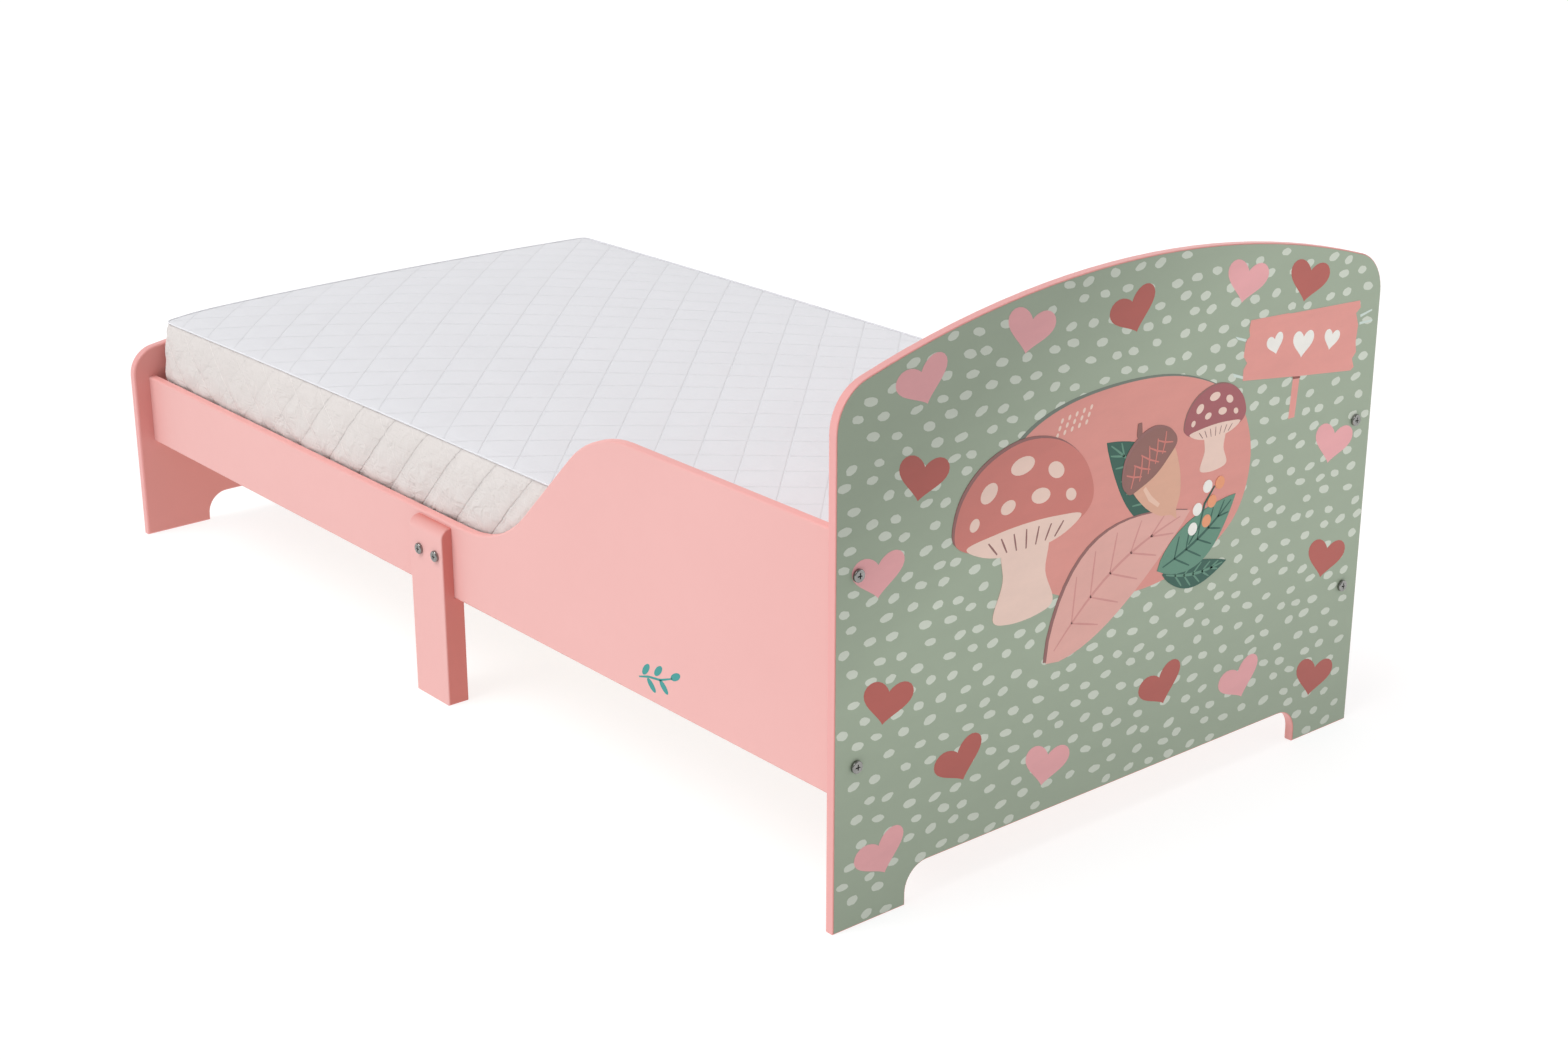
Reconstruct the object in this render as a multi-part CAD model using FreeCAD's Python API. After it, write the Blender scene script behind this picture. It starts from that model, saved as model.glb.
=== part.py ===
"""Toddler bed for a 140 x 70 cm mattress.

Two printed board ends, two side rails that rise to guards at the head, two middle legs,
a slatted base on ledgers, and a foam mattress in a quilted cover.

Millimetres. +X runs along the bed towards the headboard, +Y to the far side, +Z up.
The origin is on the floor, in the middle of the plan.
"""
import FreeCAD, Part
import math
import os

# ---- mattress: what the rest is sized from -------------------------------------------
mattress_length = 1400.0
mattress_width = 700.0
mattress_thickness = 100.0
mattress_corner_radius = 20.0
mattress_edge_radius = 14.0
cover_thickness = 6.0
mattress_end_clearance = 3.0
mattress_side_clearance = 2.0

# ---- boards ----------------------------------------------------------------------------
board_thickness = 12.0
print_foil_thickness = 0.4
print_foil_margin = 1.3
board_inner_round = 3.0
board_outer_round = 1.0

# ---- headboard and footboard -------------------------------------------------------------
board_overhang = 21.0
foot_width = 93.0
arch_radius = 28.0
headboard_arch_height = 41.0
footboard_arch_height = 37.0
headboard_height = 600.0
headboard_crown_radius = 1200.0
headboard_corner_radius = 50.0
footboard_height = 289.0
footboard_crown_radius = 2190.0
footboard_corner_radius = 38.0

# ---- side rails --------------------------------------------------------------------------
rail_bottom = 130.0
low_rail_height = 90.0
guard_height = 270.0
guard_length = 333.0
swoop_angle = 45.0
swoop_low_radius = 170.0
swoop_high_radius = 145.0
rail_edge_round = 2.5

# ---- middle legs -------------------------------------------------------------------------
leg_width = 68.0
leg_lap_thickness = 14.0
leg_lap_height = 85.0
leg_top_round = 12.0
leg_edge_round = 1.8

# ---- slatted base ------------------------------------------------------------------------
base_height = 62.0
ledger_height = 16.0
ledger_depth = 20.0
ledger_end_gap = 8.0
ledger_middle_gap = 1.0
plank_thickness = 20.0
plank_drop = 1.0
slat_count = 12
slat_width = 68.0
slat_thickness = 12.0
slat_end_clearance = 2.0
timber_edge_round = 1.5

# ---- bolts, barrel nuts and dowels ---------------------------------------------------------
bolt_diameter = 6.0
bolt_length = 50.0
bolt_end_chamfer = 1.0
bolt_hole_clearance = 0.3
bolt_hole_spare_depth = 4.0
nut_diameter = 10.0
nut_length = 9.0
nut_hole_clearance = 0.2
nut_end_gap = 0.2
nut_past_centre = 4.0
nut_slot_width = 1.4
nut_slot_depth = 1.4
head_bolt_from_bottom = 40.0
head_bolt_from_top = 37.5
foot_bolt_from_bottom = 20.0
foot_bolt_from_top = 16.0
dowel_diameter = 6.0
dowel_length = 30.0
dowel_in_board = 8.0
dowel_spare_depth = 1.0
dowel_end_chamfer = 0.8

# ---- pan heads of the bolts and of the leg screws -----------------------------------------------
pan_diameter = 13.0
pan_height = 3.4
pan_edge_round = 1.3
pan_recess_width = 6.4
pan_recess_depth = 2.4

# ---- wood screws: diameter, length, head diameter --------------------------------------------
leg_screw_diameter = 5.0
leg_screw_length = 50.0
leg_screw_spacing = 33.0
leg_screw_headward_shift = 4.0
ledger_screw = {"shank": 4.0, "length": 28.0, "head": 8.0}
slat_screw = {"shank": 3.5, "length": 25.0, "head": 7.0}
screw_sink = 0.3
screw_hole_clearance = 0.15
slat_screw_from_end = 9.0
ledger_screw_gaps = (1, 3, 5)

# ---- worked out from the values above --------------------------------------------------------
well_length = mattress_length + 2 * mattress_end_clearance
well_width = mattress_width + 2 * mattress_side_clearance
bed_width = well_width + 2 * board_thickness + 2 * board_overhang
rail_inner_y = well_width / 2
rail_middle_y = rail_inner_y + board_thickness / 2
rail_outer_y = rail_inner_y + board_thickness
rail_end_x = well_length / 2
leg_outer_y = rail_outer_y + leg_lap_thickness
leg_height = rail_bottom + leg_lap_height
low_rail_top = rail_bottom + low_rail_height
guard_top = rail_bottom + guard_height
base_top = rail_bottom + base_height
slat_top = base_top + slat_thickness
slat_length = well_width - 2 * slat_end_clearance
slat_pitch = well_length / slat_count
plank_top = base_top - plank_drop
leg_screw_z = plank_top - plank_thickness / 2
ledger_screw_z = base_top - ledger_height / 2
nut_setback = bolt_length - board_thickness - nut_past_centre
head_bolt_heights = (rail_bottom + head_bolt_from_bottom, guard_top - head_bolt_from_top)
foot_bolt_heights = (rail_bottom + foot_bolt_from_bottom, low_rail_top - foot_bolt_from_top)
head_dowel_height = sum(head_bolt_heights) / 2
foot_dowel_height = sum(foot_bolt_heights) / 2

V = FreeCAD.Vector
ORIGIN = V(0, 0, 0)
ALONG = V(1, 0, 0)
ACROSS = V(0, 1, 0)
UP = V(0, 0, 1)
OVERRUN = 5.0


# ---- small tools -------------------------------------------------------------------------------
def box(low, high):
    """A block between two opposite corners."""
    return Part.makeBox(high[0] - low[0], high[1] - low[1], high[2] - low[2], V(*low))


def on_circle(centre, radius, degrees):
    """A point (u, v) on a circle."""
    angle = math.radians(degrees)
    return centre[0] + radius * math.cos(angle), centre[1] + radius * math.sin(angle)


def outline(steps, to_space):
    """A closed wire. Each step is a corner (u, v), or an arc ("arc", through, end)."""
    edges = []
    start = first = to_space(*steps[0])
    for step in steps[1:] + [steps[0]]:
        if step[0] == "arc":
            end = to_space(*step[2])
            edges.append(Part.Arc(start, to_space(*step[1]), end).toShape())
        else:
            end = to_space(*step)
            if end.distanceToPoint(start) > 0.001:
                edges.append(Part.LineSegment(start, end).toShape())
        start = end
    assert start.distanceToPoint(first) < 0.001
    return Part.Wire(edges)


def cylinder(radius, length, base, axis):
    return Part.makeCylinder(radius, length, base, axis)


def edges_on_plane(shape, axis, value, keep=lambda edge: True):
    """Edges that lie in the plane axis = value."""
    found = []
    for edge in shape.Edges:
        box_of = edge.BoundBox
        low, high = getattr(box_of, axis + "Min"), getattr(box_of, axis + "Max")
        if abs(low - value) < 0.001 and abs(high - value) < 0.001 and keep(edge):
            found.append(edge)
    return found


def edges_along(shape, axis):
    """Straight edges parallel to an axis."""
    return [edge for edge in shape.Edges
            if abs(edge.Length - getattr(edge.BoundBox, axis + "Length")) < 0.001]


def place(shape, base, axis):
    """Turn a shape built along +Z to point along an axis, and move it to its base."""
    moved = shape.copy()
    moved.Placement = FreeCAD.Placement(base, FreeCAD.Rotation(UP, axis))
    return moved


def cut_all(shape, tools):
    return shape.cut(Part.makeCompound(tools)) if tools else shape


def mirror_across(shape):
    """The same piece on the far side of the bed."""
    return shape.mirror(ORIGIN, ACROSS)


def mirror_along(shape):
    """The same piece at the other end of the bed."""
    return shape.mirror(ORIGIN, ALONG)


# ---- fasteners, built with the shank down -Z ---------------------------------------------------
def cross_recess(width, depth):
    """The tapered cross that a screwdriver goes into, open at z = 0."""
    arm = width * 0.22
    blades = []
    for angle in (0, 90):
        corners = [V(-width / 2, 0, 0), V(width / 2, 0, 0), V(width / 5, 0, -depth),
                   V(-width / 5, 0, -depth), V(-width / 2, 0, 0)]
        blade = Part.Face(Part.makePolygon(corners)).extrude(V(0, arm, 0))
        blade.translate(V(0, -arm / 2, 0))
        blade.rotate(ORIGIN, UP, angle)
        blades.append(blade)
    return blades[0].fuse(blades[1])


def shank(diameter, length, point):
    """A plain shank below z = 0 that ends in a cone of the given length."""
    radius = diameter / 2
    profile = [V(0, 0, 0), V(radius, 0, 0), V(radius, 0, point - length), V(0, 0, -length), V(0, 0, 0)]
    return Part.Face(Part.makePolygon(profile)).revolve(ORIGIN, UP, 360)


def pan_headed(body):
    """A shank with a round-edged head that seats on z = 0."""
    head = cylinder(pan_diameter / 2, pan_height, ORIGIN, UP)
    head = head.makeFillet(pan_edge_round, edges_on_plane(head, "Z", pan_height))
    recess = cross_recess(pan_recess_width, pan_recess_depth)
    recess.translate(V(0, 0, pan_height))
    return head.cut(recess).fuse(body).removeSplitter()


def screw_body(size):
    """A countersunk screw with no recess, its flat top at z = 0 and its end pointed."""
    head_radius, radius = size["head"] / 2, size["shank"] / 2
    head_depth = head_radius - radius
    tip = size["shank"]
    profile = [V(0, 0, 0), V(head_radius, 0, 0), V(radius, 0, -head_depth),
               V(radius, 0, tip - size["length"]), V(0, 0, -size["length"]), V(0, 0, 0)]
    return Part.Face(Part.makePolygon(profile)).revolve(ORIGIN, UP, 360)


def wood_screw(size):
    """A countersunk wood screw with a cross recess."""
    head_depth = (size["head"] - size["shank"]) / 2
    return screw_body(size).cut(cross_recess(size["head"] / 2, head_depth * 0.8))


def screw_hole(size, thickness):
    """Countersink and clearance hole through the first piece, from its face at z = 0."""
    grow = screw_hole_clearance
    head_radius, radius = size["head"] / 2 + grow, size["shank"] / 2 + grow
    head_depth = head_radius - radius
    profile = [V(0, 0, OVERRUN), V(head_radius, 0, OVERRUN), V(head_radius, 0, -screw_sink),
               V(radius, 0, -screw_sink - head_depth), V(radius, 0, -thickness - OVERRUN),
               V(0, 0, -thickness - OVERRUN), V(0, 0, OVERRUN)]
    return Part.Face(Part.makePolygon(profile)).revolve(ORIGIN, UP, 360)


# ---- headboard and footboard ---------------------------------------------------------------------
def end_board_outline(height, crown_radius, corner_radius, arch_height, inset, x):
    """The board seen from its end, with every edge moved in by an inset."""
    side = bed_width / 2 - inset
    crown_centre = (0, height - crown_radius)
    corner_y = bed_width / 2 - corner_radius
    corner_z = crown_centre[1] + math.sqrt((crown_radius - corner_radius) ** 2 - corner_y ** 2)
    lean = math.degrees(math.atan2(corner_z - crown_centre[1], corner_y))
    foot_inner = bed_width / 2 - foot_width + inset
    arch_top = arch_height + inset
    arch_round = arch_radius + inset
    arch_centre = (foot_inner - arch_round, arch_top - arch_round)

    def corner_point(degrees, mirrored=False):
        y, z = on_circle((corner_y, corner_z), corner_radius - inset, degrees)
        return (-y, z) if mirrored else (y, z)

    def arch_point(degrees, mirrored=False):
        y, z = on_circle(arch_centre, arch_round, degrees)
        return (-y, z) if mirrored else (y, z)

    steps = [
        (side, inset),
        (side, corner_z),
        ("arc", corner_point(lean / 2), corner_point(lean)),
        ("arc", (0, height - inset), corner_point(lean, True)),
        ("arc", corner_point(lean / 2, True), (-side, corner_z)),
        (-side, inset),
        (-foot_inner, inset),
        (-foot_inner, arch_centre[1]),
        ("arc", arch_point(45, True), (-arch_centre[0], arch_top)),
        (arch_centre[0], arch_top),
        ("arc", arch_point(45), (foot_inner, arch_centre[1])),
        (foot_inner, inset),
    ]
    return outline(steps, lambda y, z: V(x, y, z))


def end_board(height, crown_radius, corner_radius, arch_height, bolt_heights, dowel_height):
    """A board end and its printed foil, built at the head end of the bed."""
    inner_x = rail_end_x
    face_x = rail_end_x + board_thickness - print_foil_thickness
    wire = end_board_outline(height, crown_radius, corner_radius, arch_height, 0, inner_x)
    panel = Part.Face(wire).extrude(V(face_x - inner_x, 0, 0))
    panel = panel.makeFillet(board_inner_round, edges_on_plane(panel, "X", inner_x))
    panel = panel.makeFillet(board_outer_round, edges_on_plane(panel, "X", face_x))
    wire = end_board_outline(height, crown_radius, corner_radius, arch_height,
                             print_foil_margin, face_x)
    foil = Part.Face(wire).extrude(V(print_foil_thickness, 0, 0))
    holes = []
    sockets = []
    for y in (-rail_middle_y, rail_middle_y):
        for z in bolt_heights:
            holes.append(cylinder(bolt_diameter / 2 + bolt_hole_clearance,
                                  board_thickness + 2 * OVERRUN, V(inner_x - OVERRUN, y, z), ALONG))
        sockets.append(cylinder(dowel_diameter / 2, dowel_in_board + dowel_spare_depth + OVERRUN,
                                V(inner_x - OVERRUN, y, dowel_height), ALONG))
    return cut_all(panel, holes + sockets), cut_all(foil, holes)


# ---- side rails ------------------------------------------------------------------------------------
def rail_steps():
    """The rail seen from the side: low at the foot, swooping up to the guard at the head."""
    turn = math.radians(swoop_angle)
    rise = guard_height - low_rail_height
    arcs_rise = (swoop_low_radius + swoop_high_radius) * (1 - math.cos(turn))
    straight = (rise - arcs_rise) / math.sin(turn)
    run = (swoop_low_radius + swoop_high_radius) * math.sin(turn) + straight * math.cos(turn)
    high_end_x = rail_end_x - guard_length
    low_start_x = high_end_x - run
    low_centre = (low_start_x, low_rail_top + swoop_low_radius)
    high_centre = (high_end_x, guard_top - swoop_high_radius)
    return [
        (rail_end_x, rail_bottom),
        (rail_end_x, guard_top),
        (high_end_x, guard_top),
        ("arc", on_circle(high_centre, swoop_high_radius, 90 + swoop_angle / 2),
         on_circle(high_centre, swoop_high_radius, 90 + swoop_angle)),
        on_circle(low_centre, swoop_low_radius, swoop_angle - 90),
        ("arc", on_circle(low_centre, swoop_low_radius, swoop_angle / 2 - 90),
         (low_start_x, low_rail_top)),
        (-rail_end_x, low_rail_top),
        (-rail_end_x, rail_bottom),
    ]


def end_joint_cuts(end, bolt_heights, dowel_height):
    """Bolt holes, barrel nut holes and a dowel socket in one end of the near rail."""
    inward = V(-end, 0, 0)
    outside_x = end * (rail_end_x + OVERRUN)
    nut_hole_length = board_thickness / 2 + nut_length / 2 + nut_end_gap
    cuts = []
    for z in bolt_heights:
        reach = bolt_length - board_thickness + bolt_hole_spare_depth
        cuts.append(cylinder(bolt_diameter / 2 + bolt_hole_clearance, reach + OVERRUN,
                             V(outside_x, -rail_middle_y, z), inward))
        cuts.append(cylinder(nut_diameter / 2 + nut_hole_clearance, nut_hole_length + OVERRUN,
                             V(end * (rail_end_x - nut_setback), -rail_inner_y + OVERRUN, z),
                             -ACROSS))
    reach = dowel_length - dowel_in_board + dowel_spare_depth
    cuts.append(cylinder(dowel_diameter / 2, reach + OVERRUN,
                         V(outside_x, -rail_middle_y, dowel_height), inward))
    return cuts


def near_rail():
    """The near side rail, with its end joints and the holes for leg and ledger screws."""
    wire = outline(rail_steps(), lambda x, z: V(x, -rail_outer_y, z))
    rail = Part.Face(wire).extrude(V(0, board_thickness, 0))

    def not_at_an_end(edge):
        middle = (edge.BoundBox.XMin + edge.BoundBox.XMax) / 2
        return abs(abs(middle) - rail_end_x) > 0.001 or edge.BoundBox.XLength > 0.001

    for y in (-rail_outer_y, -rail_inner_y):
        rail = rail.makeFillet(rail_edge_round, edges_on_plane(rail, "Y", y, not_at_an_end))
    cuts = end_joint_cuts(1, head_bolt_heights, head_dowel_height)
    cuts += end_joint_cuts(-1, foot_bolt_heights, foot_dowel_height)
    cuts += leg_screw_holes()
    for x in ledger_screw_places():
        cuts.append(placed_pilot(ledger_screw, V(x, ledger_screw_seat_y(), ledger_screw_z), ACROSS))
    return cut_all(rail, cuts)


# ---- middle legs -----------------------------------------------------------------------------------
def near_leg():
    """A leg that carries the middle of the rail on a shoulder and laps over its outer face."""
    steps = [
        (-leg_outer_y, 0),
        (-rail_inner_y, 0),
        (-rail_inner_y, rail_bottom),
        (-rail_outer_y, rail_bottom),
        (-rail_outer_y, leg_height),
        (-leg_outer_y + leg_top_round, leg_height),
        ("arc", on_circle((-leg_outer_y + leg_top_round, leg_height - leg_top_round),
                          leg_top_round, 135),
         (-leg_outer_y, leg_height - leg_top_round)),
    ]
    wire = outline(steps, lambda y, z: V(-leg_width / 2, y, z))
    leg = Part.Face(wire).extrude(V(leg_width, 0, 0))

    def outer_edge(edge):
        return edge.BoundBox.YMax < -rail_outer_y - 0.001 or edge.BoundBox.ZMax < rail_bottom

    for x in (-leg_width / 2, leg_width / 2):
        leg = leg.makeFillet(leg_edge_round, edges_on_plane(leg, "X", x, outer_edge))
    return cut_all(leg, leg_screw_holes())


def leg_screw_places():
    """Where the leg screws' heads seat on the near leg's outer face."""
    from_middle = (-leg_screw_spacing / 2, leg_screw_spacing / 2)
    return [V(leg_screw_headward_shift + x, -leg_outer_y, leg_screw_z) for x in from_middle]


def leg_screw_holes():
    """Clearance holes for the leg screws through the near leg and rail."""
    radius = leg_screw_diameter / 2 + screw_hole_clearance
    reach = leg_lap_thickness + board_thickness + 2 * OVERRUN
    return [cylinder(radius, reach, seat - ACROSS * OVERRUN, ACROSS) for seat in leg_screw_places()]


# ---- slatted base ----------------------------------------------------------------------------------
def slat_x(number):
    return (number - (slat_count - 1) / 2) * slat_pitch


def slat_screw_y():
    return slat_length / 2 - slat_screw_from_end


def ledger_screw_places():
    """Places along the bed, between slats, of the screws that hold the ledgers."""
    return [side * gap * slat_pitch for side in (-1, 1) for gap in ledger_screw_gaps]


def ledger_screw_seat_y():
    return -rail_inner_y + ledger_depth - screw_sink


def placed_pilot(size, base, axis):
    """The hole that a screw's thread fills, as deep as the screw."""
    return place(screw_body(size), base, axis)


def near_ledger(end):
    """Half of the near ledger: end is 1 for the head half and -1 for the foot half."""
    inner_x = leg_width / 2 + ledger_middle_gap
    outer_x = rail_end_x - ledger_end_gap
    low_x, high_x = sorted((end * inner_x, end * outer_x))
    ledger = box((low_x, -rail_inner_y, base_top - ledger_height),
                 (high_x, -rail_inner_y + ledger_depth, base_top))
    free_edges = edges_on_plane(ledger, "Y", -rail_inner_y + ledger_depth)
    ledger = ledger.makeFillet(timber_edge_round, free_edges)
    cuts = []
    for x in ledger_screw_places():
        if x * end > 0:
            hole = screw_hole(ledger_screw, ledger_depth)
            face = V(x, -rail_inner_y + ledger_depth, ledger_screw_z)
            cuts.append(place(hole, face, ACROSS))
    for number in range(slat_count):
        if slat_x(number) * end > 0:
            base = V(slat_x(number), -slat_screw_y(), slat_top - screw_sink)
            cuts.append(placed_pilot(slat_screw, base, UP))
    return cut_all(ledger, cuts)


def cross_plank():
    """The flat plank that ties the two rails and middle legs together under the slats."""
    plank = box((-leg_width / 2, -rail_inner_y, plank_top - plank_thickness),
                (leg_width / 2, rail_inner_y, plank_top))
    plank = plank.makeFillet(timber_edge_round, edges_along(plank, "Y"))
    cuts = []
    for seat in leg_screw_places():
        pilot = place(leg_screw_shank(), seat, -ACROSS)
        cuts += [pilot, mirror_across(pilot)]
    return cut_all(plank, cuts)


def slat(number):
    """One slat across the bed, screwed to the ledger at each end."""
    x = slat_x(number)
    piece = box((x - slat_width / 2, -slat_length / 2, base_top),
                (x + slat_width / 2, slat_length / 2, slat_top))
    piece = piece.makeFillet(timber_edge_round, edges_along(piece, "Y"))
    holes = [place(screw_hole(slat_screw, slat_thickness), V(x, y, slat_top), UP)
             for y in (-slat_screw_y(), slat_screw_y())]
    return cut_all(piece, holes)


# ---- fastener groups -------------------------------------------------------------------------------
def bolts(bolt_heights):
    """The bolts through one board end, at the head end of the bed."""
    face_x = rail_end_x + board_thickness
    bolt = pan_headed(shank(bolt_diameter, bolt_length, bolt_end_chamfer))
    return [place(bolt, V(face_x, y, z), ALONG)
            for y in (-rail_middle_y, rail_middle_y) for z in bolt_heights]


def barrel_nut():
    """A cross dowel with a threaded hole and a slot, its slotted end at z = 0."""
    nut = cylinder(nut_diameter / 2, nut_length, V(0, 0, -nut_length), UP)
    thread = cylinder(bolt_diameter / 2, nut_diameter + 2 * OVERRUN,
                      V(-nut_diameter / 2 - OVERRUN, 0, -nut_length / 2), ALONG)
    slot = box((-nut_diameter, -nut_slot_width / 2, -nut_slot_depth),
               (nut_diameter, nut_slot_width / 2, OVERRUN))
    return nut.cut(thread).cut(slot)


def barrel_nuts(bolt_heights):
    """The nuts in the rails at the head end of the bed."""
    nuts = []
    for z in bolt_heights:
        base = V(rail_end_x - nut_setback, -rail_middle_y + nut_length / 2, z)
        turned = barrel_nut()
        turned.rotate(ORIGIN, ALONG, -90)
        turned.translate(base)
        nuts += [turned, mirror_across(turned)]
    return nuts


def dowels(height):
    """The dowels between one board end and the two rails, at the head end of the bed."""
    pieces = []
    for y in (-rail_middle_y, rail_middle_y):
        base = V(rail_end_x + dowel_in_board - dowel_length, y, height)
        dowel = cylinder(dowel_diameter / 2, dowel_length, base, ALONG)
        pieces.append(dowel.makeChamfer(dowel_end_chamfer, round_edges(dowel)))
    return pieces


def round_edges(shape):
    return [edge for edge in shape.Edges if edge.isClosed()]


def leg_screw_shank():
    return shank(leg_screw_diameter, leg_screw_length, leg_screw_diameter)


def leg_screws():
    """Two screws through each leg and rail into the end of the cross plank."""
    screws = []
    for seat in leg_screw_places():
        screw = place(pan_headed(leg_screw_shank()), seat, -ACROSS)
        screws += [screw, mirror_across(screw)]
    return screws


def ledger_screws():
    """The screws through the ledgers into the rails."""
    screws = []
    for x in ledger_screw_places():
        base = V(x, ledger_screw_seat_y(), ledger_screw_z)
        screw = place(wood_screw(ledger_screw), base, ACROSS)
        screws += [screw, mirror_across(screw)]
    return screws


def slat_screws():
    """The screws through the ends of the slats into the ledgers."""
    return [place(wood_screw(slat_screw), V(slat_x(number), y, slat_top - screw_sink), UP)
            for number in range(slat_count) for y in (-slat_screw_y(), slat_screw_y())]


# ---- mattress --------------------------------------------------------------------------------------
def mattress_block(shrink):
    """A cushion-edged block in the mattress's place, smaller all round by an amount."""
    half_length = mattress_length / 2 - shrink
    half_width = mattress_width / 2 - shrink
    block = box((-half_length, -half_width, slat_top + shrink),
                (half_length, half_width, slat_top + mattress_thickness - shrink))
    block = block.makeFillet(mattress_corner_radius - shrink, edges_along(block, "Z"))
    low, high = slat_top + shrink, slat_top + mattress_thickness - shrink
    rims = edges_on_plane(block, "Z", low) + edges_on_plane(block, "Z", high)
    return block.makeFillet(mattress_edge_radius - shrink, rims)


# ---- all the nodes ---------------------------------------------------------------------------------
def build():
    """Every node's name and its solids."""
    nodes = {}
    panel, foil = end_board(headboard_height, headboard_crown_radius, headboard_corner_radius,
                            headboard_arch_height, head_bolt_heights, head_dowel_height)
    nodes["headboard_panel"] = [panel]
    nodes["headboard_print_foil"] = [foil]
    panel, foil = end_board(footboard_height, footboard_crown_radius, footboard_corner_radius,
                            footboard_arch_height, foot_bolt_heights, foot_dowel_height)
    nodes["footboard_panel"] = [mirror_along(panel)]
    nodes["footboard_print_foil"] = [mirror_along(foil)]
    rail = near_rail()
    nodes["side_rail_near"] = [rail]
    nodes["side_rail_far"] = [mirror_across(rail)]
    leg = near_leg()
    nodes["middle_leg_near"] = [leg]
    nodes["middle_leg_far"] = [mirror_across(leg)]
    nodes["cross_plank"] = [cross_plank()]
    for end, name in ((1, "head"), (-1, "foot")):
        ledger = near_ledger(end)
        nodes["ledger_near_" + name] = [ledger]
        nodes["ledger_far_" + name] = [mirror_across(ledger)]
    for number in range(slat_count):
        nodes["slat_%02d" % (number + 1)] = [slat(number)]
    nodes["headboard_bolts"] = bolts(head_bolt_heights)
    nodes["footboard_bolts"] = [mirror_along(piece) for piece in bolts(foot_bolt_heights)]
    nodes["headboard_barrel_nuts"] = barrel_nuts(head_bolt_heights)
    nodes["footboard_barrel_nuts"] = [mirror_along(nut) for nut in barrel_nuts(foot_bolt_heights)]
    nodes["headboard_dowels"] = dowels(head_dowel_height)
    nodes["footboard_dowels"] = [mirror_along(piece) for piece in dowels(foot_dowel_height)]
    nodes["leg_screws"] = leg_screws()
    nodes["ledger_screws"] = ledger_screws()
    nodes["slat_screws"] = slat_screws()
    core = mattress_block(cover_thickness)
    nodes["mattress_cover"] = [mattress_block(0).cut(core)]
    nodes["mattress_core"] = [core]
    return nodes


def save(nodes):
    """One STEP file per node, in parts/."""
    os.makedirs("parts", exist_ok=True)
    for name, solids in nodes.items():
        shape = solids[0] if len(solids) == 1 else Part.makeCompound(solids)
        assert shape.isValid(), name + " is not a valid solid"
        shape.exportStep("parts/" + name + ".step")
        print("%-24s %3d solid(s) %9.1f cm3" % (name, len(shape.Solids), shape.Volume / 1000))


save(build())
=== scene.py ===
"""The looks of the toddler bed: paint, print, timber, fasteners, a quilted mattress, and a small studio."""
import math
import random
import bmesh
import bpy
import numpy as np
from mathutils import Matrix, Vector, noise
from mathutils.bvhtree import BVHTree


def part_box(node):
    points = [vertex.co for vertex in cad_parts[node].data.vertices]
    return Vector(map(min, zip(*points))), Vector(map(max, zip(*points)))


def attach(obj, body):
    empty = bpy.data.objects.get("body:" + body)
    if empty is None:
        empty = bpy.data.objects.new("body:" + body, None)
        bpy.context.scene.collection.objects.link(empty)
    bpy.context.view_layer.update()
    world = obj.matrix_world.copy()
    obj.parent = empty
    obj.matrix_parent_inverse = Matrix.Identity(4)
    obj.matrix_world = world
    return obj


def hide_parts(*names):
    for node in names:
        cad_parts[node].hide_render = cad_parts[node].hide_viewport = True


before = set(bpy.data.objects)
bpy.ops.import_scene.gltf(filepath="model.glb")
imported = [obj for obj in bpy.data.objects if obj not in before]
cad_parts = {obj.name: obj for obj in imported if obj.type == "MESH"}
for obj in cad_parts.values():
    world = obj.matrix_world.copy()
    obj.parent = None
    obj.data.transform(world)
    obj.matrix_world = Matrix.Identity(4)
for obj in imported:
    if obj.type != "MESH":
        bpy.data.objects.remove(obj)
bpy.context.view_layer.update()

MM = 0.001


def colour(red, green, blue):
    """A screen colour, 0 to 255, as the linear colour that the shader needs."""
    def linear(value):
        value /= 255
        return value / 12.92 if value <= 0.04045 else ((value + 0.055) / 1.055) ** 2.4
    return (linear(red), linear(green), linear(blue), 1.0)


# ---- materials ----
QUILT_PITCH = 70.0 * MM
DRAWN_IN = 1.6 * MM
STITCH = 4.0 * MM
STITCH_SHARE = 0.72
THREAD = 0.7 * MM
PULL_GAIN = 1.6
KNIT = 95.0
TOP_TONE = colour(229, 229, 233)
SIDE_TONE = colour(218, 212, 209)
PINE = colour(226, 196, 150), colour(196, 152, 100)
BEECH = colour(222, 186, 148), colour(198, 156, 114)
BOARD_MOTTLE = 0.05
INK_MOTTLE = 0.09

# Each paint: the axis that its board is thin along, its deeper and paler tones, its sawn edges' tone.
PAINT = {
    # Painted shade: the end boards' face tones are darker and deeper than the rails', for faces turned away
    # from the key light.
    "end_paint_shaded_faces": ("X", (223, 147, 141), (229, 155, 149), (231, 166, 163)),
    "rail_paint": ("Y", (228, 171, 167), (236, 181, 177), (240, 171, 166)),
    # The legs' edge tone is far deeper than the rails': partly the sawn edges' own deeper colour, partly
    # painted shade on the legs' sides and ends.
    "leg_paint_shaded_edges": ("Y", (228, 171, 167), (236, 181, 177), (213, 126, 118)),
}

# Painted shade on the print, where less light falls: it darkens towards the foot and, along a slant,
# towards the upper
# near corner: the heights where that starts and is full, and its share.
PAINTED_SHADE_SLANT = 0.6
FOOT_PAINTED_SHADE = (220.0 * MM, 0.0)
FOOT_PAINTED_SHADE_SHARE = 0.20
CORNER_PAINTED_SHADE = (460.0 * MM, 640.0 * MM)
CORNER_PAINTED_SHADE_SHARE = 0.26
PAINTED_SHADE_TONE = 0.1

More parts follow.
